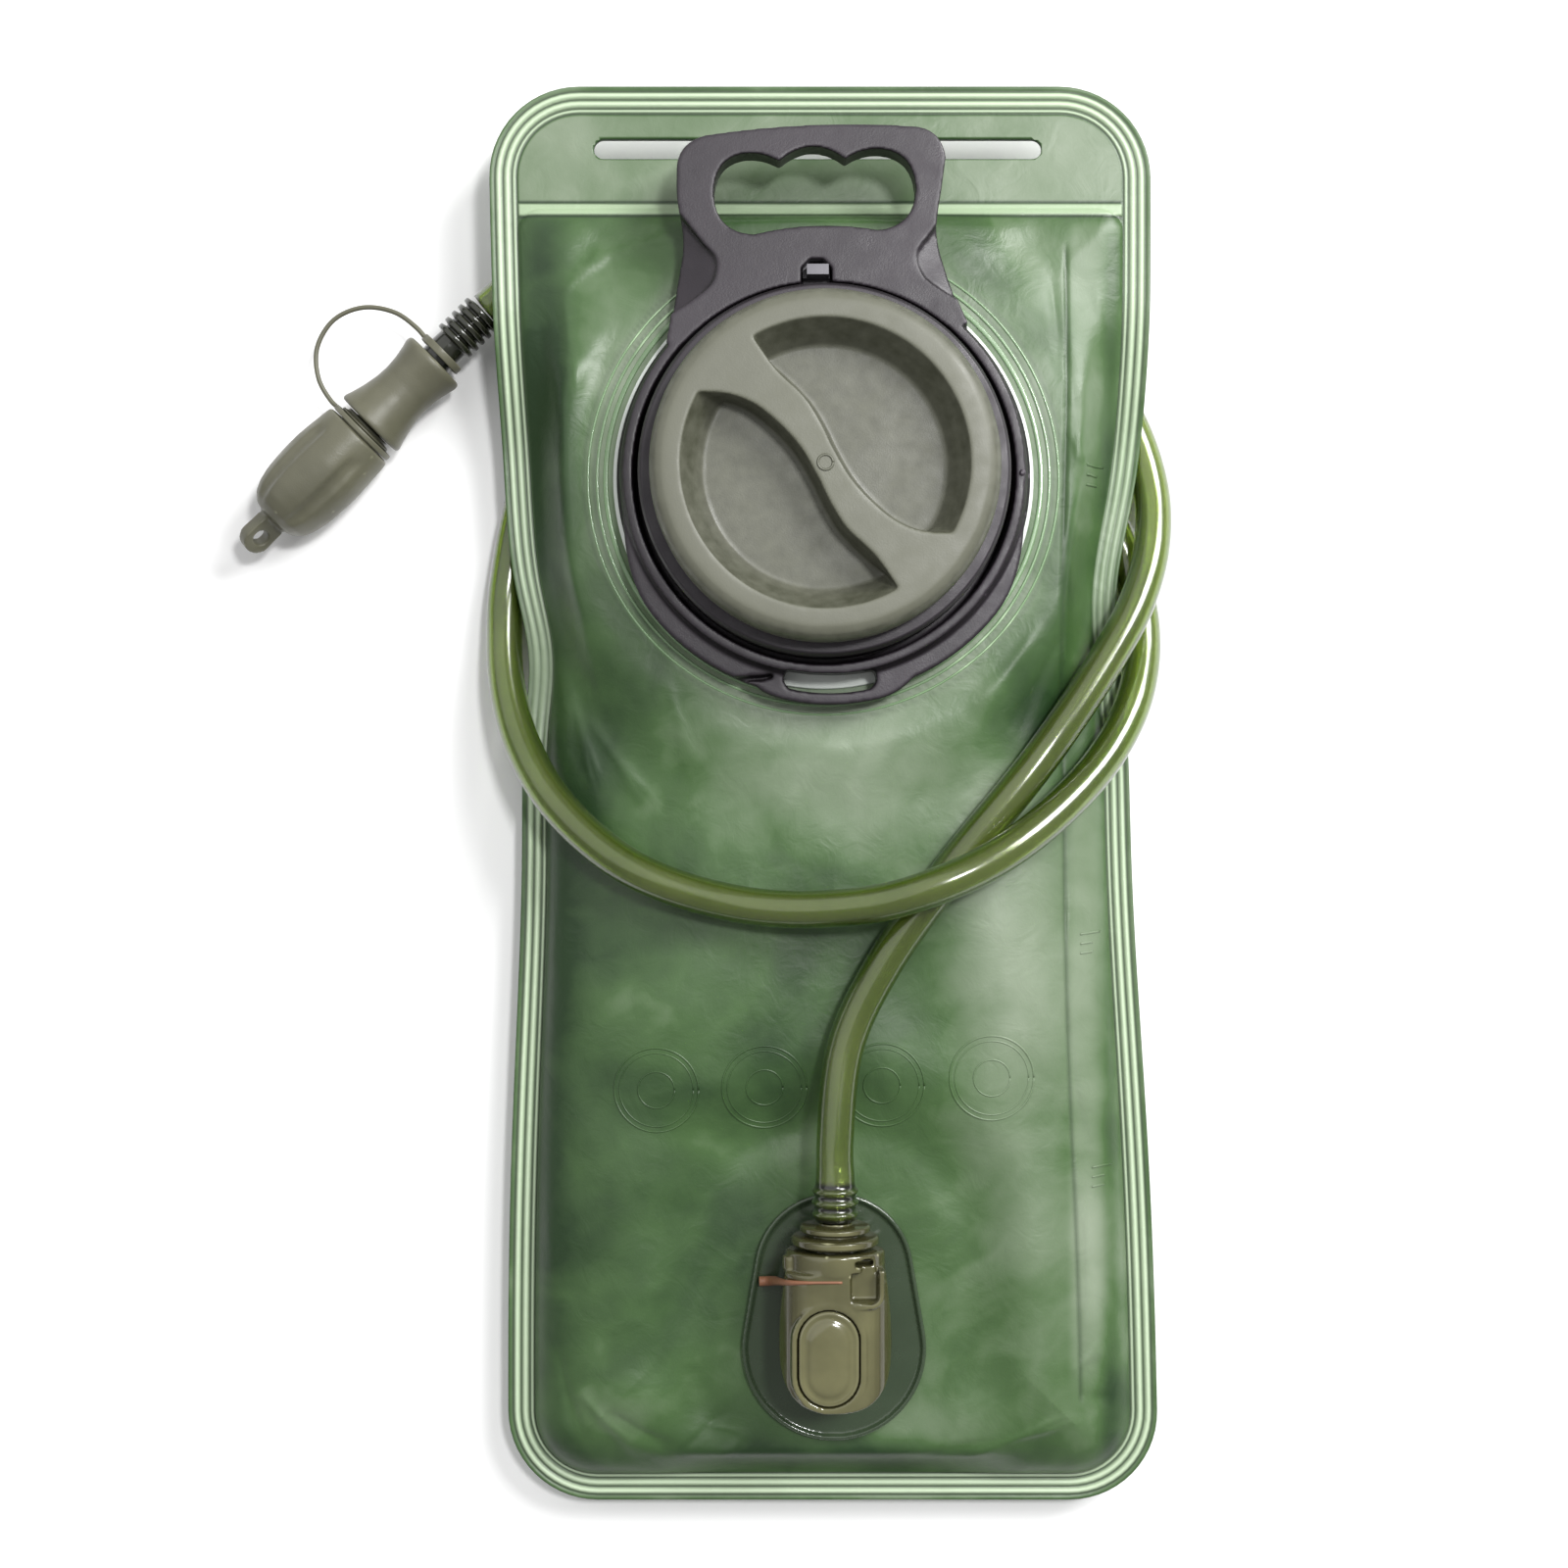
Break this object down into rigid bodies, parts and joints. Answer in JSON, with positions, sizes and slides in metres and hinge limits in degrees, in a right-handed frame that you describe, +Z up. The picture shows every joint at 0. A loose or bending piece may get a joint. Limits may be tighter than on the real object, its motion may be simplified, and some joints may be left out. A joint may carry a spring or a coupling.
{
  "type": "hydration bladder",
  "caption": "Flat welded water bag with a screw-cap fill port and carrying handle, a quick-release outlet and a drinking hose with a covered bite valve.",
  "frame": {"origin": "on the floor under the middle of the bag, which lies on its back", "axes": "+Z up out of the bag's front, +Y along the bag towards the carrying handle, +X to the right of the bag seen from above"},
  "size_m": [0.2383, 0.36, 0.0556],
  "materials": {
    "film": "satin translucent green film",
    "clear_tpu": "clear welded plastic",
    "dark_plastic": "fine moulded texture",
    "olive_plastic": "satin moulded",
    "smoked_plastic": "smoky translucent",
    "amber_plastic": "olive translucent moulding",
    "hose_tpu": "clear tinted tubing",
    "valve_rubber": "soft matte",
    "seal_rubber": "black seal",
    "orange_rubber": "orange seal",
    "silicone": "translucent white",
    "steel": "stainless",
    "grey_plastic": "light grey moulded"
  },
  "bodies": {
    "bladder": {"back_sheet": "film", "front_sheet": "film", "port_flange": "clear_tpu", "collar_handle": "dark_plastic", "lock_tab": "grey_plastic", "index_pin": "dark_plastic", "outlet_flange": "smoked_plastic", "outlet_socket": "amber_plastic", "button_spring": "silicone", "poppet_spring": "steel", "hose_plug": "amber_plastic", "plug_o_ring": "orange_rubber", "hose": "hose_tpu", "valve_adapter": "valve_rubber", "adapter_o_ring": "seal_rubber"},
    "cap_seal": {"cap_gasket": "silicone"},
    "cap_disc": {"cap_liner": "dark_plastic"},
    "cap": {"cap_ring": "dark_plastic", "cap_grip": "olive_plastic"},
    "release": {"release_button": "amber_plastic", "latch_plate": "steel"},
    "poppet": {"check_poppet": "grey_plastic"},
    "bite_valve": {"bite_valve_body": "valve_rubber", "valve_stem": "grey_plastic", "stem_spider": "grey_plastic", "tether": "valve_rubber"},
    "nozzle": {"mouthpiece": "valve_rubber"},
    "cover": {"dust_cover": "valve_rubber"}
  },
  "joints": [
    {"name": "cap_lift", "type": "slide", "parent": "bladder", "child": "cap_seal", "axis": [0, 0, 1], "range_m": [0, 0.06]},
    {"name": "cap_rise", "type": "slide", "parent": "cap_seal", "child": "cap_disc", "axis": [0, 0, 1], "range_m": [0, 0.0061]},
    {"name": "cap_turn", "type": "hinge", "parent": "cap_disc", "child": "cap", "pos_m": [-0.001, 0.08, 0.04], "axis": [0, 0, 1], "range_deg": [0, 540]},
    {"name": "button_press", "type": "slide", "parent": "bladder", "child": "release", "axis": [0, 0, -1], "range_m": [0, 0.0012], "stiffness_N_per_m": 800, "deforming": ["button_spring"]},
    {"name": "poppet_push", "type": "slide", "parent": "bladder", "child": "poppet", "axis": [0, -1, 0], "range_m": [0, 0.0015], "stiffness_N_per_m": 300, "deforming": ["poppet_spring"]},
    {"name": "valve_twist", "type": "hinge", "parent": "bladder", "child": "bite_valve", "pos_m": [-0.0874, 0.125, 0.0112], "axis": [-0.712, -0.7022, 0], "range_deg": [0, 90]},
    {"name": "mouthpiece_pull", "type": "slide", "parent": "bite_valve", "child": "nozzle", "axis": [-0.712, -0.7022, 0], "range_m": [0, 0.0035]},
    {"name": "cover_pull", "type": "slide", "parent": "bite_valve", "child": "cover", "axis": [-0.712, -0.7022, 0], "range_m": [0, 0.045], "deforming": ["tether"]}
  ],
  "couplings": [
    {"joint": "cap_rise", "follows": "cap_turn", "m_per_rad": 0.00063662}
  ]
}
